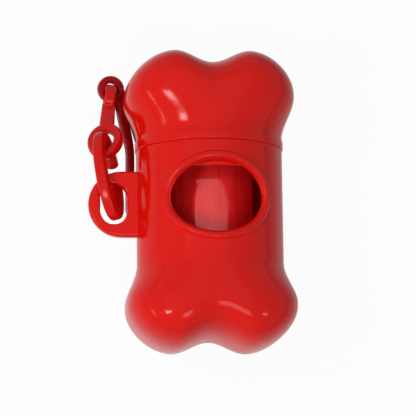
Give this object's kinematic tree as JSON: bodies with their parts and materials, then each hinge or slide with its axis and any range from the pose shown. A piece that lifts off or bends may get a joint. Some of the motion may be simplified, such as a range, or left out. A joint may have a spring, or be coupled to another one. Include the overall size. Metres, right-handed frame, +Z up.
{
  "type": "dog waste bag dispenser",
  "caption": "Bone-shaped waste-bag dispenser in two push-fit shells, with a rimmed oval window, a roll of bags inside and a side lug that carries a linked chain and a sprung clip.",
  "frame": {"origin": "middle of the underside of the whole object as it lies on its back flats, window upward", "axes": "+Z up, out of the window; +Y along the bone from the closed end towards the cap; -X towards the lug and its chain"},
  "size_m": [0.0582, 0.0846, 0.0427],
  "materials": {
    "shell": "glossy moulded red plastic",
    "chain": "glossy moulded red plastic with softened edges",
    "clip": "semi-gloss moulded darker red plastic",
    "film": "thin red film, wound and lightly wrinkled",
    "card": "plain wound card, matt"
  },
  "bodies": {
    "body": {"body_shell": "shell"},
    "cap": {"cap_shell": "shell"},
    "roll": {"bag_roll": "film", "roll_core": "card"},
    "open_link": {"open_link": "chain"},
    "twin_eye_link": {"twin_eye_link": "chain"},
    "clip": {"clip_hook": "clip"},
    "gate": {"clip_gate": "clip"}
  },
  "joints": [
    {"name": "cap_pull", "type": "slide", "parent": "body", "child": "cap", "axis": [0, 1, 0], "range_m": [0, 0.03]},
    {"name": "roll_turn", "type": "hinge", "parent": "body", "child": "roll", "pos_m": [0.00515, 0, 0.01686], "axis": [0, 1, 0], "continuous": true},
    {"name": "open_link_swing", "type": "hinge", "parent": "body", "child": "open_link", "pos_m": [-0.0214, -0.00203, 0.02175], "axis": [0, 0, 1], "range_deg": [0, 80]},
    {"name": "twin_link_swing", "type": "hinge", "parent": "open_link", "child": "twin_eye_link", "pos_m": [-0.02436, 0.01405, 0.01999], "axis": [0.9676, 0.0467, 0.2481], "range_deg": [-8, 4]},
    {"name": "clip_swing", "type": "hinge", "parent": "twin_eye_link", "child": "clip", "pos_m": [-0.02166, 0.03284, 0.00589], "axis": [0.9898, -0.1426, 0], "range_deg": [0, 70]},
    {"name": "gate_flex", "type": "hinge", "parent": "clip", "child": "gate", "pos_m": [-0.01516, 0.02651, 0.00427], "axis": [-0.2078, 0.0349, -0.9776], "range_deg": [0, 9], "stiffness_Nm_per_rad": 0.05}
  ]
}
